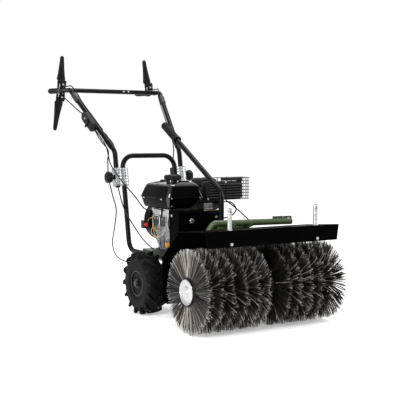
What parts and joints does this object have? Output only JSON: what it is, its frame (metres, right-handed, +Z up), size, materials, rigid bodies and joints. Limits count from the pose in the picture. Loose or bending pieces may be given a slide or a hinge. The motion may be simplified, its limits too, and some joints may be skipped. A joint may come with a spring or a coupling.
{
  "type": "power brush sweeper",
  "caption": "Walk-behind power sweeper: engine-driven roller brush under a bent hood on a swivelling head, lugged wheels, tilting handlebar with hand levers and cables.",
  "frame": {"origin": "centre of the whole object's box, on the floor under it", "axes": "+Z up, -Y forward to the brush, +Y back to the operator, +X to the operator's left"},
  "size_m": [0.706, 1.845, 1.2508],
  "materials": {
    "green_paint": "satin",
    "black_paint": "gloss",
    "zinc": "satin",
    "steel": "satin",
    "cast_iron": "matte",
    "cast_alloy": "matte",
    "engine_black": "gloss",
    "guard_plate": "gloss",
    "black_plastic": "matte",
    "red_plastic": "gloss",
    "yellow_plastic": "gloss",
    "tyre": "matte",
    "rubber": "matte",
    "cable_sheath": "satin",
    "bristle": "matte"
  },
  "bodies": {
    "chassis": {"chassis_frame": "green_paint", "engine_deck": "green_paint", "frame_bolts": "zinc", "gearbox_case": "cast_iron", "axle_bearings": "steel", "engine_block": "cast_alloy", "crankcase_cover": "cast_alloy", "cylinder_head": "cast_alloy", "rocker_cover": "cast_alloy", "blower_housing": "engine_black", "recoil_cover": "engine_black", "switch_box": "black_plastic", "fuel_tank": "engine_black", "muffler": "engine_black", "muffler_guard": "guard_plate", "carburettor": "cast_alloy", "air_cleaner": "black_plastic", "spark_plug": "black_plastic", "belt_cover": "black_paint", "drive_belt": "rubber", "handle_loop": "black_paint", "clamp_plates": "zinc", "left_cables": "cable_sheath", "right_cables": "cable_sheath"},
    "starter": {"starter_grip": "black_plastic"},
    "cap": {"fuel_cap": "black_plastic"},
    "dipstick": {"dipstick": "yellow_plastic"},
    "switch": {"engine_switch": "red_plastic"},
    "crank": {"crankshaft": "steel", "engine_pulley": "steel"},
    "drive": {"drive_shaft": "steel", "driven_pulley": "steel"},
    "wheels": {"axle": "steel", "wheel_rims": "black_paint", "left_tyre": "tyre", "right_tyre": "tyre"},
    "head": {"brush_hood": "black_paint", "head_frame": "green_paint", "king_pin": "steel", "hood_posts": "zinc", "apron_bolts": "zinc", "bevel_case": "cast_iron", "swivel_lever": "black_paint", "lever_grip": "rubber"},
    "head_drive": {"head_shaft": "steel"},
    "brush": {"brush_shaft": "steel", "brush_drums": "black_paint", "left_bristles": "bristle", "right_bristles": "bristle", "brush_caps": "zinc"},
    "bar": {"handlebar": "black_paint", "handle_grips": "rubber", "lever_brackets": "zinc", "throttle_housing": "black_plastic"},
    "left_hand": {"left_lever": "black_plastic"},
    "right_hand": {"right_lever": "black_plastic"},
    "low_hand": {"lower_lever": "black_plastic"},
    "throttle": {"throttle_lever": "black_plastic"},
    "left_clamp": {"left_knob": "black_plastic"},
    "right_clamp": {"right_knob": "black_plastic"}
  },
  "joints": [
    {"name": "head_swivel", "type": "hinge", "parent": "chassis", "child": "head", "pos_m": [0, -0.4575, 0.323], "axis": [0, 0, 1], "range_deg": [-15, 15], "deforming": ["left_cables"]},
    {"name": "brush_spin", "type": "hinge", "parent": "head", "child": "brush", "pos_m": [0, -0.7475, 0.175], "axis": [1, 0, 0], "continuous": true},
    {"name": "head_shaft_spin", "type": "hinge", "parent": "head", "child": "head_drive", "pos_m": [0, -0.5975, 0.175], "axis": [0, 1, 0], "continuous": true},
    {"name": "drive_shaft_spin", "type": "hinge", "parent": "chassis", "child": "drive", "pos_m": [0, -0.3475, 0.175], "axis": [0, 1, 0], "continuous": true},
    {"name": "crank_spin", "type": "hinge", "parent": "chassis", "child": "crank", "pos_m": [-0.13, -0.2875, 0.415], "axis": [0, 1, 0], "continuous": true},
    {"name": "wheel_roll", "type": "hinge", "parent": "chassis", "child": "wheels", "pos_m": [0, -0.2635, 0.141], "axis": [1, 0, 0], "continuous": true},
    {"name": "handlebar_tilt", "type": "hinge", "parent": "chassis", "child": "bar", "pos_m": [0, 0.23368, 0.6], "axis": [1, 0, 0], "range_deg": [-15, 30], "deforming": ["left_cables", "right_cables"]},
    {"name": "left_lever_pull", "type": "hinge", "parent": "bar", "child": "left_hand", "pos_m": [0.26824, 0.77245, 1.09375], "axis": [-0.9945, 0.0029, -0.1045], "range_deg": [0, 60], "stiffness_Nm_per_rad": 1, "springref_deg": -5.73},
    {"name": "right_lever_pull", "type": "hinge", "parent": "bar", "child": "right_hand", "pos_m": [-0.26824, 0.77245, 1.09375], "axis": [-0.9945, -0.0029, 0.1045], "range_deg": [0, 60], "stiffness_Nm_per_rad": 1, "springref_deg": -5.73},
    {"name": "lower_lever_pull", "type": "hinge", "parent": "bar", "child": "low_hand", "pos_m": [-0.27576, 0.77444, 1.02217], "axis": [0.9945, 0.0029, -0.1045], "range_deg": [0, 60], "stiffness_Nm_per_rad": 1, "springref_deg": -5.73},
    {"name": "throttle_turn", "type": "hinge", "parent": "bar", "child": "throttle", "pos_m": [-0.22764, 0.43532, 0.88489], "axis": [-0.9856, -0.128, -0.1109], "range_deg": [-45, 45]},
    {"name": "left_knob_turn", "type": "hinge", "parent": "chassis", "child": "left_clamp", "pos_m": [0.2, 0.23368, 0.6], "axis": [1, 0, 0], "continuous": true},
    {"name": "right_knob_turn", "type": "hinge", "parent": "chassis", "child": "right_clamp", "pos_m": [-0.2, 0.23368, 0.6], "axis": [1, 0, 0], "continuous": true},
    {"name": "fuel_cap_turn", "type": "hinge", "parent": "chassis", "child": "cap", "pos_m": [-0.14368, -0.2675, 0.61], "axis": [0, 0, 1], "range_deg": [0, 90]},
    {"name": "dipstick_turn", "type": "hinge", "parent": "chassis", "child": "dipstick", "pos_m": [-0.19, -0.3115, 0.313], "axis": [-1, 0, 0], "range_deg": [0, 90]},
    {"name": "switch_turn", "type": "hinge", "parent": "chassis", "child": "switch", "pos_m": [-0.2373, -0.1815, 0.397], "axis": [0, 1, 0], "range_deg": [0, 45]},
    {"name": "starter_pull", "type": "slide", "parent": "chassis", "child": "starter", "axis": [0, 1, 0], "range_m": [0, 0.07], "stiffness_N_per_m": 60, "springref_m": -0.05}
  ],
  "couplings": [
    {"joint": "head_shaft_spin", "follows": "brush_spin", "ratio": 2.5},
    {"joint": "drive_shaft_spin", "follows": "brush_spin", "ratio": 2.5},
    {"joint": "crank_spin", "follows": "brush_spin", "ratio": 3.75}
  ]
}
